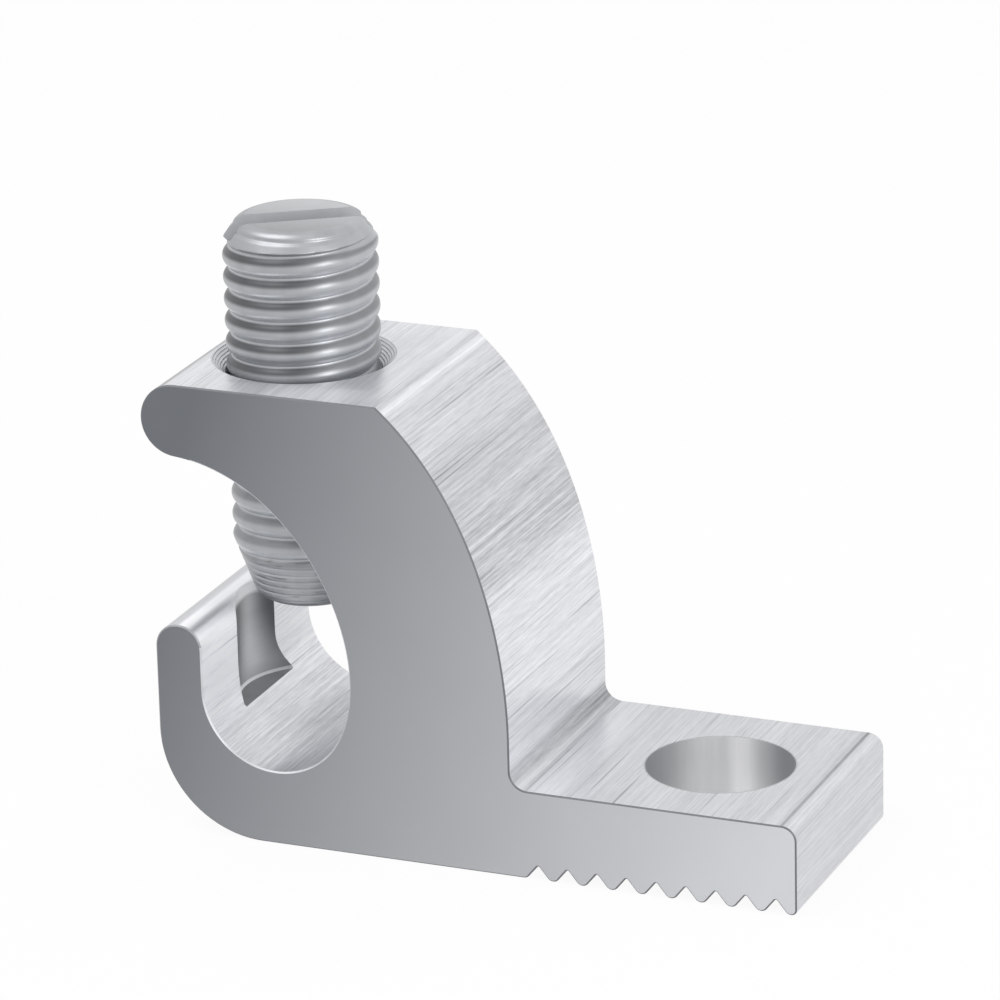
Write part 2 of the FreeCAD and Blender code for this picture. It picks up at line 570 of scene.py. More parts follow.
@dataclass(frozen=True)
class DrawnFinish:
    """Aluminium as it leaves the die: pale, with fine lines along the drawing direction, Y.

    The die lines are a place on the profile and how much darker the line is. Over them lie broad
    regions and bands of painted light and shade. A gain is what a region of painted light or shade
    adds to the factor of the colour. A span is where a region comes in along Z and where it goes out
    again, an end is where it goes out along X and a foot where it comes in along Z.
    """

    name: str = "drawn_aluminium"
    colour: Triple = (0.665, 0.674, 0.700)
    dark: Triple = (0.30, 0.305, 0.32)
    metallic: float = 0.75
    roughness: float = 0.30
    line_reach: float = 0.07
    back_lines: tuple[Pair, ...] = ((17.98, 0.13), (17.34, 0.12), (17.03, 0.12), (16.0, 0.06),
                                    (14.75, 0.07), (13.89, 0.07), (12.70, 0.1), (12.24, 0.09))
    tang_lines: tuple[Pair, ...] = ((-5.0, 0.12), (-4.4, 0.08), (-0.27, 0.1), (0.5, 0.09), (1.55, 0.1))
    seat_lines: tuple[Pair, ...] = ((211.0, 0.22), (241.0, 0.09), (263.0, 0.06))
    # Places and gains of the broad painted light and shade, down to the seat: a negative gain paints shade,
    # a positive one light
    middle_back: Span = ((10.8, 12.2), (16.2, 17.2))
    middle_back_gain: float = -0.13
    low_back: Span = ((4.3, 4.9), (11.0, 12.5))
    low_back_gain: float = 0.12
    tang_gain: float = -0.08
    rim_gain: float = -0.3
    top_gain: float = 0.06
    dulled_gain: float = 0.04
    near_corner_gain: float = 0.15
    far_corner_gain: float = -0.15
    channel: Span = ((2.9, 3.1), (17.3, 17.6))
    channel_end: Pair = (-13.4, -12.9)
    channel_gain: float = 0.2
    wall_foot: Pair = (4.2, 5.4)
    wall_end: Pair = (-20.0, -18.5)
    near_wall_gain: float = 0.34
    far_wall_gain: float = 0.19
    near_lip_gain: float = 0.3
    seat_gain: float = -0.45
    far_seat_gain: float = -0.25
    fine_gain: float = 0.42
    grit_gain: float = 0.26
    hair_gain: float = 0.5
    coarse_gain: float = 0.2
    scratch_share: float = 0.7
    dull_share: float = 0.5
    relief: float = 0.004

    def bands(self, jaw: Jaw) -> list[Band]:
        """The bands of painted light and shade along a jaw's profile: painted highlights and painted shade
        at its rounds and corners.

        Args:
            jaw: The jaw whose profile they follow.

        Returns:
            The bands, from the nose over the back and the tang to the lip.
        """
        back_x, tang_z, end_x = jaw.back_x, jaw.tang_thickness, jaw.end_centre()[0]
        return [
            # Painted shade on the nose where it turns down from the flat top
            Band(jaw.on_nose(132.0), 0.4, 0.85, -0.58),
            # The ridge is painted a little darker, and just under it the back has a painted highlight
            Band(jaw.ridge(), 0.06, 0.28, -0.1),
            Band(jaw.on_back(jaw.height - 0.25), 0.06, 0.28, 0.26),
            # Painted shade in the corner under the back, and painted light on the tang beside it
            Band((back_x + 1.3, tang_z), 0.5, 1.3, 0.22),
            Band((back_x + 0.55, tang_z + 0.03), 0.04, 0.24, -0.3),
            Band((back_x + 0.22, tang_z + 0.22), 0.05, 0.32, -0.3),
            Band((back_x + 0.05, tang_z + 0.5), 0.05, 0.4, -0.25),
            # The tang's top ends in a painted shade line, with a painted glint on the round past it
            Band((end_x, tang_z), 0.03, 0.11, -0.42),
            Band((end_x - 0.12, tang_z), 0.05, 0.22, -0.06),
            Band(jaw.on_end(55.0), 0.1, 0.3, 0.12),
            # The lip has two painted glints on its inner side, and painted shade outside
            Band(jaw.on_lip(75.0), 0.1, 0.3, 0.35),
            Band(jaw.on_lip(36.0), 0.12, 0.34, 0.5),
            Band(jaw.on_lip(124.0), 0.2, 0.65, -0.24)]

    def die_lines(self, jaw: Jaw) -> list[Band]:
        """The thin dark lines that run the whole width of a jaw.

        Args:
            jaw: The jaw whose profile they lie on.

        Returns:
            A narrow band for each line.
        """
        places = [(jaw.on_back(height), gain) for height, gain in self.back_lines]
        places += [((x, jaw.tang_thickness), gain) for x, gain in self.tang_lines]
        places += [(jaw.on_seat(angle), gain) for angle, gain in self.seat_lines]
        return [Band(place, 0.0, self.line_reach, -gain) for place, gain in places]

    def back_light_and_shade(self, shader: Shader, jaw: Jaw) -> Number:
        """The broad painted light and shade outside the jaw: its back, the tang, the corner, the hole's rim
        and the beak's flat top.

        Args:
            shader: The material's tree.
            jaw: The jaw that is painted.

        Returns:
            What they add to the factor of the colour.
        """
        x, y, z = shader.axes()
        seat_end = jaw.on_seat(0.0)[0]
        # Painted shade across the middle of the back and painted light lower down, painted shade on the tang
        # and a painted shade line round the hole's rim, painted light on the beak's top, and the corner
        # painted paler at the front and darker at the back
        middle = z.between(*self.middle_back)
        low = z.between(*self.low_back) * x.ramp(seat_end, jaw.back_x)
        tang = x.ramp(jaw.back_x, jaw.back_x + 1.0) * z.fall(jaw.tang_thickness, jaw.tang_thickness + 0.6)
        rim = ((x * x + y * y) ** 0.5).fall(jaw.hole_radius + 0.02, jaw.hole_radius + 0.09)
        off_corner = shader.off_line((jaw.back_x + 0.5, jaw.tang_thickness + 0.8))
        near_corner = off_corner.fall(2.2, 3.8) * y.line(-4.5, 0.5, 1.0, 0.0)
        far_corner = off_corner.fall(1.3, 2.8) * y.line(0.5, 4.5)
        return (middle * self.middle_back_gain + low * self.low_back_gain + tang * self.tang_gain
                + rim * self.rim_gain + self.on_top(z, jaw) * self.top_gain
                + near_corner * self.near_corner_gain + far_corner * self.far_corner_gain)

    def channel_light_and_shade(self, shader: Shader, jaw: Jaw) -> Number:
        """The broad painted light and shade inside the jaw: throat and channel, the lip's inner wall and the
        seat.

        Args:
            shader: The material's tree.
            jaw: The jaw that is painted.

        Returns:
            What they add to the factor of the colour.
        """
        x, y, z = shader.axes()
        inner_x, seat_end = jaw.on_lip(0.0)[0], jaw.on_seat(0.0)[0]
        # Painted light in the channel and on the lip's inner wall, a painted glint near the lip's front end,
        # and painted shade growing across the seat towards +X and at its foot away from the front
        channel = x.between((inner_x - 0.3, inner_x - 0.1), self.channel_end) * z.between(*self.channel)
        wall = (channel * x.fall(*self.wall_end) * z.ramp(*self.wall_foot)
                * y.line(-4.5, 3.0, self.near_wall_gain, self.far_wall_gain))
        near_lip = shader.off_line(jaw.on_lip(70.0)).fall(0.1, 0.4) * y.fall(-5.0, -2.0)
        in_seat = shader.off_line(jaw.seat_centre()).fall(jaw.seat_radius + 0.1, jaw.seat_radius + 0.4)
        seat = in_seat * x.line(inner_x, seat_end, 0.0, self.seat_gain)
        seat_foot = shader.off_line((jaw.seat_centre()[0] - 0.2, jaw.seat_wall)).fall(0.3, 1.5)
        far_seat = seat_foot * y.ramp(-4.0, 0.5) * y.ramp(2.5, 5.0, 1.0, 0.2)
        return (channel * self.channel_gain + wall + near_lip * self.near_lip_gain
                + seat + far_seat * self.far_seat_gain)

    @staticmethod
    def on_top(z: Number, jaw: Jaw) -> Number:
        """1 on the flat top of the beak."""
        return z.ramp(jaw.height - 0.1, jaw.height - 0.02)

    def dulled(self, shader: Shader, jaw: Jaw) -> Number:
        """Where the metal is duller, and painted a little paler against the screw's shade: on the beak in
        front of the screw.

        Args:
            shader: The material's tree.
            jaw: The jaw that is painted.

        Returns:
            How much duller it is, from 0 to 1.
        """
        x, y, z = shader.axes()
        return self.on_top(z, jaw) * y.fall(-4.2, -2.6) * x.peak(-15.4, 3.6)

    def build(self, jaw: Jaw) -> bpy.types.Material:
        """Make the material for a jaw.

        Args:
            jaw: The jaw, whose profile the bands and tones follow.

        Returns:
            The material.
        """
        material = bpy.data.materials.new(self.name)
        shader = Shader(material)
        x, _, z = shader.axes()
        fine = shader.drawn_out(9.0, 0.035, 3.0, 0.65)
        grit = shader.drawn_out(14.0, 0.09)
        coarse = shader.drawn_out(1.8, 0.03)
        hairs = shader.drawn_out(10.0, 0.005, 2.0, 0.6)
        patches = shader.drawn_out(0.55, 0.3, 1.0)
        scratches = shader.drawn_out(6.0, 0.006, 1.0).ramp(0.12, 0.2) * patches.ramp(-0.1, 0.1)
        broken = shader.noise(0.5, (0.3, 1.0, 0.3)).ramp(-0.12, 0.1, 0.3, 1.2)

        # The grain is weaker where the lip is rubbed smooth and on the tang, and stronger high up
        rubbed = shader.off_line((jaw.lip_top()[0], jaw.lip_height)).ramp(0.9, 1.3, 0.25, 1.0)
        over_tang = x.ramp(jaw.back_x - 0.5, jaw.back_x + 0.5, 1.0, 0.55)
        strength = z.ramp(14.0, 16.5, 1.6, 1.05) * over_tang * rubbed
        grain = (fine * self.fine_gain + grit * self.grit_gain + hairs * self.hair_gain) * strength

        # Painted light and shade: a slight painted lift in front of the screw, the broad regions and the
        # bands; the die lines, grain and scratches are the metal's own
        dulled = self.dulled(shader, jaw)
        bands = total([band.painted(shader) for band in self.bands(jaw)])
        lines = total([line.painted(shader) for line in self.die_lines(jaw)])
        tone = 1.0 + self.back_light_and_shade(shader, jaw) + self.channel_light_and_shade(shader, jaw) + dulled * self.dulled_gain
        tone = tone + bands + lines * broken + grain + coarse * rubbed * self.coarse_gain

        # The lip's inner wall and the painted glint above it are less metallic too
        wall = x.between((-20.3, -20.25), (-20.0, -19.8)) * z.between(self.wall_foot, (7.6, 8.0))
        dull = dulled + Band(jaw.on_lip(34.0), 0.12, 0.3, 1.0).painted(shader) + wall * 0.8
        colour = shader.scaled(shader.blend(scratches * self.scratch_share, self.colour, self.dark), tone)
        shader.finish({"Base Color": colour, "Metallic": self.metallic - dull * self.dull_share,
                       "Roughness": self.roughness + fine * 0.1,
                       "Normal": shader.bump(fine * 0.6 - scratches, self.relief)})
        return material


@dataclass(frozen=True)
class SawnFinish:
    """The smooth cut sides, with painted light and shade: darker at the nose and paler towards the tang.

    The painted colour goes from dark to pale along X less a share of Z.
    """

    name: str = "sawn_aluminium"
    dark: Triple = (0.163, 0.172, 0.188)
    pale: Triple = (0.640, 0.652, 0.678)
    dark_at: float = -26.2
    pale_at: float = 3.6
    slope: float = 0.33
    mottle: float = 0.05
    metallic: float = 0.75
    roughness: float = 0.42

    def build(self) -> bpy.types.Material:
        """Make the material.

        Returns:
            The material.
        """
        material = bpy.data.materials.new(self.name)
        shader = Shader(material)
        x, _, z = shader.axes()
        share = (x - z * self.slope).line(self.dark_at, self.pale_at)
        mottled = 1.0 + shader.noise(0.35) * self.mottle
        colour = shader.scaled(shader.blend(share, self.dark, self.pale), mottled)
        shader.finish({"Base Color": colour, "Metallic": self.metallic, "Roughness": self.roughness,
                       "Normal": shader.bump(shader.noise(12.0), 0.0003)})
        return material


@dataclass(frozen=True)
class PlainFinish:
    """A metal of one colour with a soft mottle, which can grow paler along Y as painted light."""

    name: str
    colour: Triple
    metallic: float = 0.6
    roughness: float = 0.5
    mottle: float = 0.3
    lean: float = 0.0

    def build(self) -> bpy.types.Material:
        """Make the material.

        Returns:
            The material.
        """
        material = bpy.data.materials.new(self.name)
        shader = Shader(material)
        _, y, _ = shader.axes()
        colour = shader.scaled(self.colour, 1.0 + shader.noise(1.3) * self.mottle + y * self.lean)
        shader.finish({"Base Color": colour, "Metallic": self.metallic, "Roughness": self.roughness})
        return material


@dataclass(frozen=True)
class BoredFinish:
    """A drilled wall: satin, with faint marks left by the drill, and paler in places with painted
    reflections and highlights.

    The marks are a noise, stretched by a factor along each axis.
    """

    name: str
    colour: Triple
    pale: Triple
    metallic: float = 0.5
    roughness: float = 0.45
    marks: Triple = (0.05, 0.05, 1.0)
    mark_gain: float = 0.12

    def painted_light_share(self, shader: Shader, jaw: Jaw) -> Number:
        """How much of the pale colour, the painted light, shows, from 0 to 1."""
        raise NotImplementedError

    def build(self, jaw: Jaw) -> bpy.types.Material:
        """Make the material.

        Args:
            jaw: The jaw that the hole is in.

        Returns:
            The material.
        """
        material = bpy.data.materials.new(self.name)
        shader = Shader(material)
        marks = shader.noise(7.0, self.marks)
        colour = shader.blend(self.painted_light_share(shader, jaw), self.colour, self.pale)
        shader.finish({"Base Color": shader.scaled(colour, 1.0 + marks * self.mark_gain),
                       "Metallic": self.metallic, "Roughness": self.roughness,
                       "Normal": shader.bump(marks, 0.0012)})
        return material


class TangBoreFinish(BoredFinish):
    """The wall of the mounting hole, with a painted reflection: a pale streak on its far side."""

    def painted_light_share(self, shader: Shader, jaw: Jaw) -> Number:
        """Painted reflections: a narrow streak along an upright plane beside the axis, and a broad one on
        one side of it.

        Args:
            shader: The material's tree.
            jaw: The jaw that the hole is in; not used here.

        Returns:
            How much of the pale colour shows, from 0 to 1.
        """
        x, y, _ = shader.axes()
        plane_x, lean = 0.66, 0.3
        beside = x + y * lean - plane_x
        return beside.between((-3.8, -1.6), (0.65, 2.0)) * 0.6 + beside.peak(0.05, 0.85) * 0.5


class DrilledFinish(BoredFinish):
    """The wall that the screw's drill leaves, with a painted reflection: a pale streak down the lip."""

    def painted_light_share(self, shader: Shader, jaw: Jaw) -> Number:
        """Painted light, palest low beside the middle of the lip as a painted reflection, at the edge of the
        floor as a painted highlight and close to the lip's top.

        Args:
            shader: The material's tree.
            jaw: The jaw that the hole is in.

        Returns:
            How much of the pale colour shows, from 0 to 1.
        """
        _, y, z = shader.axes()
        streak_y, sharpness = z.line(5.3, 7.3, 0.75, 0.5), z.line(5.0, 7.5, 0.42, 0.85)
        streak = ((y - streak_y).size() * sharpness).fall(0.0, 1.0) * z.line(5.2, 7.3, 1.0, 0.5)
        foot_z = jaw.drill_floor + jaw.foot_rise
        under_lip_top = z.ramp(jaw.lip_height - 0.9, jaw.lip_height - 0.5)
        return streak.larger(under_lip_top).larger(z.fall(foot_z, foot_z + 0.05))


@dataclass(frozen=True)
class ThreadFinish:
    """Rolled steel: satin ridges with painted light and shade: a painted highlight on their undersides, a
    painted shadow darkest just below the roots, and the side towards +X painted paler.

    Places within a pitch are shares of it, measured downwards from a little under the root. The
    thin painted shade line is such a place and how far it spreads.
    """

    name: str = "rolled_steel"
    colour: Triple = (0.375, 0.385, 0.40)
    # The root colour is that of the painted shadows, and of the fine rings on the tip
    root: Triple = (0.09, 0.092, 0.097)
    metallic: float = 0.8
    roughness: float = 0.36
    start: float = 0.46
    shade: Span = ((0.0, 0.07), (0.22, 0.42))
    shade_gain: float = 0.95
    sunny_shade: float = -0.35
    sunny_gain: float = 0.2
    slope_gain: float = 0.16
    underside: Span = ((0.6, 0.8), (0.86, 0.96))
    underside_gain: float = 0.9
    painted_shade_line: Pair = (0.88, 0.05)
    seam_gain: float = -0.4
    streak_gain: float = 0.4
    cone_line_gain: float = 0.5

    def build(self, screw: SetScrew) -> bpy.types.Material:
        """Make the material.

        Args:
            screw: The screw, whose axis and thread it follows.

        Returns:
            The material.
        """
        material = bpy.data.materials.new(self.name)
        shader = Shader(material)
        x, y, z = shader.axes((screw.axis_x, 0.0, 0.0))
        over_tip = z - screw.tip_z
        below_root = (self.start - (z / screw.pitch - y.angle(x) / TURN - screw.phase)).fraction()
        # Painted shadow just below each root, a painted highlight on each ridge's underside and a thin
        # painted shade line on it
        shaded, underside = below_root.between(*self.shade), below_root.between(*self.underside)
        painted_shade_line = below_root.peak(*self.painted_shade_line)
        # The side towards +X is painted paler, and its painted shadows lighter
        painted_sunny_side = x.ramp(0.6, 2.7)
        threaded = over_tip.ramp(1.3, 2.4) * z.fall(screw.shoulder(), screw.shoulder() + 0.1)
        # The painted shadows are weaker low on the screw
        deep = z.ramp(13.0, 18.0, 0.45, 1.0)
        lines = shader.noise(5.0, (0.12, 0.12, 1.0), 2.0, 0.7).ramp(0.08, 0.16) * over_tip.fall(1.8, 2.6)
        streaks = shader.noise(1.1, (1.0, 1.0, 0.2), 2.0)
        dark = shaded * threaded * deep * (self.shade_gain + painted_sunny_side * self.sunny_shade)
        dark = dark + lines * self.cone_line_gain
        # The ridges are painted paler downwards from the root, with the painted highlight and the painted
        # shade line
        ridges = below_root * self.slope_gain + underside * self.underside_gain + painted_shade_line * self.seam_gain
        tone = 1.0 + streaks * self.streak_gain + painted_sunny_side * self.sunny_gain + ridges * threaded
        colour = shader.scaled(shader.blend(dark.smaller(1.0), self.colour, self.root), tone)
        shader.finish({"Base Color": colour, "Metallic": self.metallic, "Roughness": self.roughness})
        return material


@dataclass
class Jaw:
    """The one-piece body: jaw, open conductor channel, lip and serrated tang."""

    width: float = 10.45
    height: float = 19.05
    screw_x: float = -17.6
    nose_radius: float = 1.5
    nose_offset: float = 3.34
    nose_turn: float = 5.0
    seat_radius: float = 3.12
    seat_offset: float = 0.52
    seat_wall: float = 3.12
    seat_turn: float = 35.0
    throat_lower_pull: float = 0.31
    throat_upper_pull: float = 0.435
    lip_thickness: float = 2.0
    lip_height: float = 8.9
    heel_radius: float = 4.4
    ridge_offset: float = 5.34
    ridge_angle: float = 40.4
    back_rise: float = 1.97
    back_upper_pull: float = 0.40
    back_lower_pull: float = 0.24
    back_x: float = -6.94
    inner_fillet: float = 0.74
    tang_thickness: float = 3.71
    tang_end: float = 5.06
    end_round: float = 0.62
    foot_round: float = 0.24
    hole_radius: float = 3.0
    tooth_count: int = 9
    tooth_pitch: float = 1.25
    tooth_depth: float = 0.56
    tooth_tip_radius: float = 0.3
    tooth_root_radius: float = 0.06
    bore_radius: float = 3.17
    mouth_radius: float = 3.74
    mouth_depth: float = 0.6
    mouth_rings: int = 6
    rows_to_ring: int = 10
    mouth_ring_depth: float = 0.035
    drill_floor: float = 4.5
    foot_inset: float = 0.08
    foot_rise: float = 0.1
    edge_break: float = 0.06
    across: int = 12
    around: int = 160

    def ridge(self) -> np.ndarray:
        """Where the beak's flat top meets the back, in X and Z."""
        return np.array([self.screw_x + self.ridge_offset, self.height])

    def nose_centre(self) -> np.ndarray:
        """Centre of the beak's round nose, in X and Z."""
        return np.array([self.screw_x - self.nose_offset, self.height - self.nose_radius])

    def seat_centre(self) -> np.ndarray:
        """Centre of the channel's round seat, in X and Z."""
        return np.array([self.screw_x + self.seat_offset, self.seat_wall + self.seat_radius])

    def lip_top(self) -> np.ndarray:
        """Centre of the round on top of the lip, in X and Z."""
        top_radius = self.lip_thickness / 2
        inner_x = self.seat_centre()[0] - self.seat_radius
        return np.array([inner_x, self.lip_height]) - top_radius

    def end_centre(self) -> np.ndarray:
        """Centre of the round between the tang's top and its end face, in X and Z."""
        return np.array([self.tang_end, self.tang_thickness]) - self.end_round

    def on_nose(self, degrees: float) -> np.ndarray:
        """The point of the beak's nose at an angle, in X and Z."""
        return self.nose_centre() + self.nose_radius * heading(degrees)

    def on_seat(self, degrees: float) -> np.ndarray:
        """The point of the channel's seat at an angle, in X and Z."""
        return self.seat_centre() + self.seat_radius * heading(degrees)

    def on_lip(self, degrees: float) -> np.ndarray:
        """The point of the lip's round top at an angle, in X and Z."""
        return self.lip_top() + self.lip_thickness / 2 * heading(degrees)

    def on_end(self, degrees: float) -> np.ndarray:
        """The point at an angle of the round that ends the tang's top, in X and Z."""
        return self.end_centre() + self.end_round * heading(degrees)

    def beak(self) -> np.ndarray:
        """From the ridge along the flat top and round the nose."""
        nose = arc(self.nose_centre(), self.nose_radius, 90.0, 270.0 - self.nose_turn)
        return np.concatenate([[self.ridge()], nose])

    def channel(self) -> np.ndarray:
        """From under the nose down the throat and round the seat.

        Returns:
            The points, in X and Z.
        """
        seat = self.seat_centre()
        bend = arc(seat, self.seat_radius, -self.seat_turn, -180.0)
        throat = sweep(self.beak()[-1], -self.nose_turn, bend[0], 90.0 - self.seat_turn,
                       self.throat_upper_pull, self.throat_lower_pull)
        return np.concatenate([throat, bend])

    def lip(self) -> np.ndarray:
        """The round over the lip, from the inside out."""
        return arc(self.lip_top(), self.lip_thickness / 2, 0.0, 180.0)

    def heel(self) -> np.ndarray:
        """The large round at the lip's heel."""
        outside = self.lip_top()[0] - self.lip_thickness / 2
        return arc((outside + self.heel_radius, self.heel_radius), self.heel_radius, 180.0, 270.0)

    def teeth(self) -> np.ndarray:
        """The serrations: round tips and roots, with flanks that touch both.

        A flank leaves the tip and meets the root at the angle between the line of their centres
        and the angle whose cosine is the sum of their radii over the distance of the centres.

        Returns:
            The points, in X and Z.
        """
        half = self.tooth_pitch / 2
        tip, root = self.tooth_tip_radius, self.tooth_root_radius
        rise = self.tooth_depth - root - tip
        lean = math.acos((tip + root) / math.hypot(half, rise))
        turn = math.degrees(math.atan2(rise, half) - lean)
        tooth = np.concatenate([arc((0.0, tip), tip, 270.0, 360.0 + turn, 8.0),
                                arc((half, tip + rise), root, 180.0 + turn, -turn, 20.0),
                                arc((self.tooth_pitch, tip), tip, 180.0 - turn, 270.0, 8.0)])
        first = self.tang_end - self.foot_round - self.tooth_count * self.tooth_pitch
        shifts = np.zeros((self.tooth_count, 1, 2))
        shifts[:, 0, 0] = first + self.tooth_pitch * np.arange(self.tooth_count)
        return (tooth + shifts).reshape(-1, 2)

    def back(self) -> np.ndarray:
        """Up the back of the jaw, from its upright foot to the ridge."""
        foot = np.array([self.back_x, self.tang_thickness + self.back_rise])
        return sweep(foot, 90.0, self.ridge(), -self.ridge_angle, self.back_lower_pull, self.back_upper_pull)

    def on_back(self, height: float) -> Pair:
        """The point of the back at a height, in X and Z."""
        back = self.back()
        return float(np.interp(height, back[:, 1], back[:, 0])), height

    def tang(self) -> np.ndarray:
        """Up the end of the tang, along its top and up the back of the jaw to the ridge.

        Returns:
            The points, in X and Z.
        """
        foot = (self.tang_end - self.foot_round, self.foot_round)
        fillet = (self.back_x + self.inner_fillet, self.tang_thickness + self.inner_fillet)
        return np.concatenate([arc(foot, self.foot_round, 270.0, 360.0, 9.0),
                               arc(self.end_centre(), self.end_round, 0.0, 90.0, 6.0),
                               arc(fillet, self.inner_fillet, 270.0, 180.0, 6.0), self.back()])

    def bar(self) -> bpy.types.Object:
        """The profile carried along Y, with its edges broken at both sides.

        Returns:
            The bar, whose broken edges carry painted edge lines: a painted highlight round the channel,
            softer painted shade on the lip and painted shade elsewhere.
        """
        parts = [self.beak(), self.channel(), self.lip(), self.heel(), self.teeth(), self.tang()]
        outer = without_repeats(np.concatenate(parts))
        pale_from = len(parts[0])
        soft_from = pale_from + len(parts[1]) - 1
        soft_to = soft_from + len(parts[2])
        inner = drawn_in(outer[::-1], self.edge_break)[::-1]
        half = self.width / 2
        inside = np.linspace(-half + self.edge_break, half - self.edge_break, self.across)
        stations = np.concatenate([[-half], inside, [half]])
        flats = [inner] + [outer] * self.across + [inner]
        points = np.stack([np.stack([flat[:, 0], np.full(len(flat), y), flat[:, 1]], axis=1)
                           for flat, y in zip(flats, stations)])
        columns, rows = len(outer), len(stations)
        drawn_bands = rows - 1 - 2
        strip = np.full(columns, Finish.SHADE_LINE_EDGE.value)
        strip[pale_from:soft_from] = Finish.HIGHLIGHT_EDGE.value
        strip[soft_from:soft_to] = Finish.SOFT_SHADE_EDGE.value
        drawn = np.full(columns * drawn_bands, Finish.DRAWN.value)
        ends = [list(range(columns))[::-1], list(range((rows - 1) * columns, rows * columns))]
        slots = np.concatenate([strip, drawn, strip, [Finish.SAWN.value] * 2])
        return make_object("jaw", points.reshape(-1, 3), grid_faces(rows, columns).tolist() + ends, slots)

    def screw_hole(self) -> bpy.types.Object:
        """What the drill and the countersink take away.

        The countersink's radius is a plain cone's plus round waves that climb like a thread. The
        drill's worn corner draws the wall in a little at its foot.

        Returns:
            The cutter, whose slots are the drilled wall, the floor and the countersink.
        """
        angles = full_turn(self.around)
        share = np.linspace(0.0, 1.0, self.rows_to_ring * self.mouth_rings + 1)[:, None]
        widening = self.mouth_radius - self.bore_radius
        wave = np.abs(np.sin(math.pi * (self.mouth_rings * share - angles / TURN)))
        cone = self.bore_radius + widening * share + self.mouth_ring_depth * (wave - 1.0)
        cone[-1] = self.mouth_radius
        wall = np.repeat([[self.bore_radius - self.foot_inset], [self.bore_radius]], self.around, axis=1)
        above = np.full((1, self.around), self.mouth_radius + widening / self.mouth_depth * OVERRUN)
        radii = np.concatenate([wall, cone, above])
        wall_heights = [self.drill_floor, self.drill_floor + self.foot_rise]
        cone_heights = self.height - self.mouth_depth * (1.0 - share[:, 0])
        heights = np.concatenate([wall_heights, cone_heights, [self.height + OVERRUN]])
        drilled, floor, mouth = range(3)
        slots = np.full(len(heights) + 1, mouth)
        slots[:3] = floor, drilled, drilled
        return revolved("screw_hole", radii, heights, self.screw_x, slots)

    def tang_hole(self) -> bpy.types.Object:
        """What the mounting hole takes away.

        Returns:
            The cutter.
        """
        radii = np.full((2, self.around), self.hole_radius)
        heights = np.array([-OVERRUN, self.tang_thickness + OVERRUN])
        return revolved("tang_hole", radii, heights, 0.0)

    def finishes(self) -> dict[Finish, bpy.types.Material]:
        """Make the materials of the body.

        Returns:
            The material of each finish.
        """
        # Each bore's pale second colour is painted light: painted reflections, and on the drilled wall also
        # a painted highlight at its foot
        tang_bore = TangBoreFinish("tang_bore", (0.38, 0.385, 0.4), (0.98, 0.985, 0.99),
                                   metallic=0.55, roughness=0.42, marks=(0.6, 0.6, 0.05))
        drilled = DrilledFinish("drilled", (0.20, 0.205, 0.215), (0.95, 0.955, 0.97))
        drill_floor = PlainFinish("drill_floor", (0.42, 0.425, 0.435), metallic=0.5)
        countersunk = PlainFinish("countersunk", (0.66, 0.67, 0.69), roughness=0.35)
        return {Finish.DRAWN: DrawnFinish().build(self),
                Finish.SAWN: SawnFinish().build(),
                # The broken edges carry painted edge lines: painted shade, softer painted shade on the lip
                # and a painted highlight round the channel
                Finish.SHADE_LINE_EDGE: PlainFinish("shade_line_edge", (0.16, 0.165, 0.175)).build(),
                Finish.SOFT_SHADE_EDGE: PlainFinish("soft_shade_edge", (0.34, 0.345, 0.36)).build(),
                Finish.HIGHLIGHT_EDGE: PlainFinish("highlight_edge", (0.62, 0.63, 0.65)).build(),
                Finish.TANG_BORE: tang_bore.build(self),
                Finish.DRILLED: drilled.build(self),
                Finish.DRILL_FLOOR: drill_floor.build(),
                Finish.MOUTH: countersunk.build()}

    def build(self) -> bpy.types.Object:
        """Make the body, dress it and give it to the jaw's CAD body.

        Returns:
            The body.
        """
        body, screw_hole, tang_hole = self.bar(), self.screw_hole(), self.tang_hole()
        finishes = self.finishes()
        for finish in Finish:
            body.data.materials.append(finishes[finish])
        for finish in (Finish.DRILLED, Finish.DRILL_FLOOR, Finish.MOUTH):
            screw_hole.data.materials.append(finishes[finish])
        tang_hole.data.materials.append(finishes[Finish.TANG_BORE])
        cut(body, [screw_hole, tang_hole])
        smooth_rounds(body, sharp_degrees=20.0)
        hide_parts("lug_body")
        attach(body, "lug")
        return body


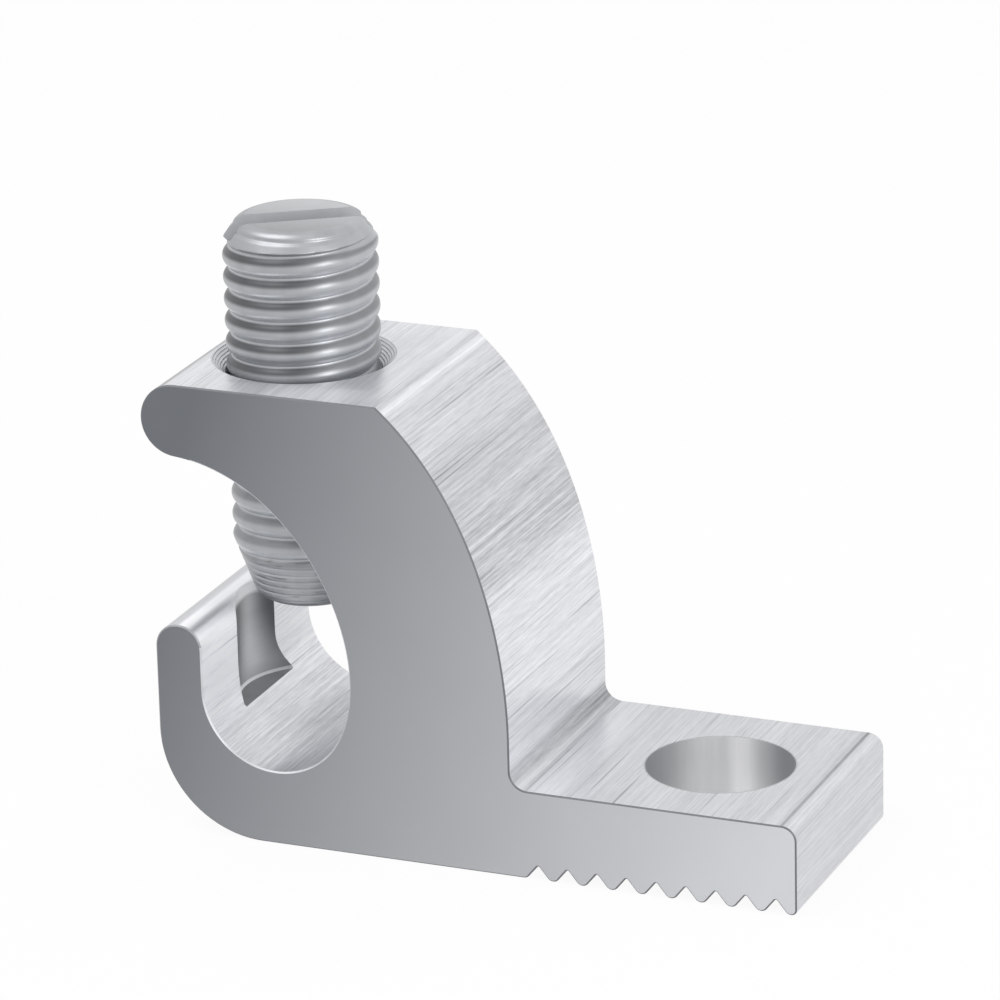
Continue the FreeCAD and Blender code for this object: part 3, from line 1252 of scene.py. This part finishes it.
@dataclass
class SetScrew:
    """The slotted set screw: a rolled thread with broad round ridges, on a slow cone at its tip."""

    axis_x: float = -17.6
    tip_z: float = 9.0
    length: float = 15.87
    radius: float = 3.12
    pitch: float = 0.907
    phase: float = 0.18
    thread_depth: float = 0.36
    bead_share: float = 0.75
    root_round: float = 0.14
    tip_radius: float = 2.0
    tip_chamfer: float = 0.3
    tip_round: float = 0.6
    cone_height: float = 2.3
    tip_ring_pitch: float = 0.31
    tip_ring_depth: float = 0.025
    ring_fade_in: float = 0.5
    ring_fade_out: float = 0.6
    top_chamfer: float = 0.62
    top_chamfer_height: float = 0.9
    top_round: float = 0.5
    crease_drop: float = 0.34
    crease_half: float = 0.13
    crease_depth: float = 0.06
    slot_width: float = 1.3
    slot_depth: float = 1.0
    slot_turn: float = 32.5
    around: int = 160
    rings: int = 500

    def shoulder(self) -> float:
        """Height over the underside of the jaw where the thread ends and the top's chamfer starts."""
        return self.tip_z + self.length - self.top_chamfer_height

    def thread(self, heights: np.ndarray, angles: np.ndarray) -> np.ndarray:
        """Radii of the rolled thread: broad round ridges with narrow round roots between them.

        The ridge's place is the height over the pitch, less the share of the turn, less the
        phase. Its section is the part of a circle from minus to plus the bead's share of its
        radius, stretched to the thread's depth. Close to the root the way from the crest
        bends off, by the long side of a triangle, so that the root is round.

        Args:
            heights: Heights over the underside of the jaw, as a column, in millimetres.
            angles: Angles about the axis, as a row, in radians.

        Returns:
            The radii, heights by angles.
        """
        turns = heights / self.pitch - angles / TURN - self.phase
        to_root = 1 - 2 * np.abs(turns - np.round(turns))
        off_crest = 1 - np.hypot(to_root, self.root_round)
        fall = 1 - np.sqrt(1 - (self.bead_share * off_crest) ** 2)
        return self.radius - self.thread_depth * fall / (1 - math.sqrt(1 - self.bead_share**2))

    def envelope(self, heights: np.ndarray, angles: np.ndarray) -> np.ndarray:
        """Radii of what the thread is trimmed to: rounded tip, slow cone, chamfered top.

        Args:
            heights: Heights over the underside of the jaw, as a column, in millimetres.
            angles: Angles about the axis, as a row, in radians.

        Returns:
            The radii, heights by angles, with fine rings turned into the cone and a crease in
            the chamfer.
        """
        cone_foot, cone_top = self.tip_chamfer, self.tip_chamfer + self.cone_height
        foot_radius = self.tip_radius + self.tip_chamfer
        slope = (self.radius - foot_radius) / self.cone_height
        cone_angle = 90.0 - math.degrees(math.atan(slope))
        chamfer_angle = 90.0 + math.degrees(math.atan(self.top_chamfer / self.top_chamfer_height))
        tip = eased((foot_radius - slope * cone_foot, 0.0), 0.0, cone_angle, self.tip_round)
        top = eased((self.radius - self.top_chamfer, self.length), chamfer_angle, 180.0, self.top_round)
        shank = [[self.radius, cone_top], [self.radius, self.length - self.top_chamfer_height]]
        marks = np.concatenate([tip, shank, top])
        over_tip = heights - self.tip_z
        limit = np.interp(over_tip, marks[:, 1], marks[:, 0])
        wave = np.maximum(0.0, np.sin(TURN * over_tip / self.tip_ring_pitch - angles))
        fades = [0.0, self.ring_fade_in, cone_top - self.ring_fade_out, cone_top]
        on_cone = np.interp(over_tip, fades, [0.0, 1.0, 1.0, 0.0])
        off_crease = np.abs(over_tip - self.length + self.crease_drop) / self.crease_half
        crease = self.crease_depth * np.cos(math.pi / 2 * np.minimum(off_crease, 1.0)) ** 2
        return limit - self.tip_ring_depth * wave**2 * on_cone - crease

    def shank(self) -> bpy.types.Object:
        """The whole screw as one turned surface: the smaller of the thread's and the envelope's radius.

        Returns:
            The screw before its slot is cut.
        """
        heights = self.tip_z + np.linspace(0.0, self.length, self.rings)
        angles = full_turn(self.around)
        column = heights[:, None]
        radii = np.minimum(self.thread(column, angles), self.envelope(column, angles))
        slots = np.full(self.rings + 1, Steel.THREAD.value)
        slots[-1] = Steel.TOP.value
        return revolved("screw", radii, heights, self.axis_x, slots)

    def slot(self) -> bpy.types.Object:
        """What the slot takes away: a long box turned about the axis.

        Returns:
            The cutter.
        """
        reach, half = self.radius + OVERRUN, self.slot_width / 2
        top = self.tip_z + self.length
        box = np.array([[-reach, -half], [reach, -half], [reach, half], [-reach, half]])
        plan = turned(box, self.slot_turn) + np.array([self.axis_x, 0.0])
        points = np.concatenate([np.column_stack([plan, np.full(4, height)])
                                 for height in (top - self.slot_depth, top + OVERRUN)])
        sides = [[i, (i + 1) % 4, (i + 1) % 4 + 4, i + 4] for i in range(4)]
        return make_object("slot_cutter", points, [[0, 3, 2, 1], [4, 5, 6, 7], *sides])

    def build(self) -> bpy.types.Object:
        """Make the screw, dress it and give it to the screw's CAD body.

        Returns:
            The screw.
        """
        screw, slot = self.shank(), self.slot()
        # The screw's top grows paler towards +Y: painted shade on its near half and painted light on its far
        # half
        top = PlainFinish("turned_steel", (0.445, 0.455, 0.47), metallic=0.8, roughness=0.4,
                          mottle=0.12, lean=0.1)
        # The slot walls are a paler, less metallic copy of the steel: painted light against the slot's shade
        slotted = PlainFinish("slotted_steel", (0.53, 0.54, 0.555), metallic=0.3, mottle=0.2)
        finishes = {Steel.THREAD: ThreadFinish().build(self), Steel.TOP: top.build(),
                    Steel.SLOT: slotted.build()}
        for steel in Steel:
            screw.data.materials.append(finishes[steel])
        slot.data.materials.append(finishes[Steel.SLOT])
        cut(screw, [slot])
        smooth_rounds(screw, sharp_degrees=40.0)
        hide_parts("set_screw")
        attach(screw, "screw")
        return screw


@dataclass(frozen=True)
class Lamp:
    """A soft area lamp that looks at a point."""

    name: str
    place: Triple
    size: Pair
    watts: float
    target: Triple = (-9.0, 0.0, 9.0)

    def build(self) -> None:
        """Make the lamp."""
        light = bpy.data.lights.new(self.name, "AREA")
        light.shape = "RECTANGLE"
        light.size, light.size_y = (side * MM for side in self.size)
        light.energy = self.watts
        made = bpy.data.objects.new(self.name, light)
        bpy.context.scene.collection.objects.link(made)
        made.location = Vector(self.place) * MM
        towards = (Vector(self.target) - Vector(self.place)).normalized()
        made.rotation_euler = towards.to_track_quat("-Z", "Y").to_euler()


@dataclass(frozen=True)
class View:
    """The photograph's viewpoint, found from the object's outline and holes."""

    azimuth: float = 22.861
    elevation: float = 19.495
    roll: float = -1.393
    lens: float = 215.205
    sensor: float = 36.0
    clip: Pair = (0.01, 10.0)
    place: Triple = (77.90, -206.70, 93.24)

    def build(self) -> None:
        """Make the camera."""
        azimuth, elevation, roll = (math.radians(d) for d in (self.azimuth, self.elevation, self.roll))
        back = Vector((math.sin(azimuth) * math.cos(elevation), -math.cos(azimuth) * math.cos(elevation),
                       math.sin(elevation)))
        level = Vector((math.cos(azimuth), math.sin(azimuth), 0.0))
        upright = back.cross(level)
        right = math.cos(roll) * level + math.sin(roll) * upright
        up = math.cos(roll) * upright - math.sin(roll) * level
        camera = bpy.data.objects.new("camera", bpy.data.cameras.new("camera"))
        camera.data.sensor_width = self.sensor
        camera.data.lens = self.lens
        camera.data.clip_start, camera.data.clip_end = self.clip
        camera.matrix_world = Matrix((right, up, back)).transposed().to_4x4()
        camera.location = Vector(self.place) * MM
        bpy.context.scene.collection.objects.link(camera)
        bpy.context.scene.camera = camera


@dataclass
class Studio:
    """The pale floor, the white surroundings and the soft lamps."""

    floor_half: float = 1500.0
    paper: tuple[float, float, float, float] = (0.9, 0.9, 0.9, 1.0)
    fill: float = 0.75
    shadow_share: float = 0.08
    lamps: list[Lamp] = field(default_factory=lambda: [
        Lamp("key", (-120.0, -60.0, 260.0), (160.0, 160.0), 0.2),
        Lamp("strip", (205.0, -143.0, 110.0), (90.0, 200.0), 0.2)])

    def floor(self) -> None:
        """A wide pale floor, white to the camera but for a faint shadow."""
        half = self.floor_half
        rim = np.array([[-half, -half, 0.0], [half, -half, 0.0], [half, half, 0.0], [-half, half, 0.0]])
        made = make_object("floor", rim, [[0, 1, 2, 3]])
        material = bpy.data.materials.new("floor_white")
        shader = Shader(material)
        paper = shader.node("ShaderNodeBsdfDiffuse", None, {"Color": self.paper})
        white = shader.node("ShaderNodeEmission", None, {"Color": WHITE, "Strength": 1.0})
        share = shader.seen_directly() * (1.0 - self.shadow_share)
        inputs = {0: share, 1: paper.outputs[0], 2: white.outputs[0]}
        mixed = shader.node("ShaderNodeMixShader", None, inputs)
        shader.node("ShaderNodeOutputMaterial", None, {"Surface": mixed.outputs[0]})
        made.data.materials.append(material)

    def world(self) -> None:
        """White to the camera and in reflections, and a plain fill light otherwise."""
        world = bpy.data.worlds.new("surroundings")
        bpy.context.scene.world = world
        shader = Shader(world)
        strength = shader.seen_directly().line(0.0, 1.0, self.fill, 1.0)
        sky = shader.node("ShaderNodeBackground", None, {"Color": WHITE, "Strength": strength})
        shader.node("ShaderNodeOutputWorld", None, {"Surface": sky.outputs[0]})

    def build(self) -> None:
        """Make the studio."""
        self.floor()
        self.world()
        for lamp in self.lamps:
            lamp.build()
        bpy.context.scene.view_settings.view_transform = "Standard"


def corners(box: tuple[Vector, Vector]) -> list[list[float]]:
    """A box's two corners as plain lists of numbers."""
    return [list(corner) for corner in box]


def main() -> None:
    """Build the lug, its screw, the studio and the camera."""
    logging.basicConfig(level=logging.INFO, format="%(name)s: %(message)s")
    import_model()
    for piece in (Jaw().build(), SetScrew().build()):
        LOG.info("%s: %d faces", piece.name, len(piece.data.polygons))
    Studio().build()
    View().build()


if __name__ == "__main__":
    main()
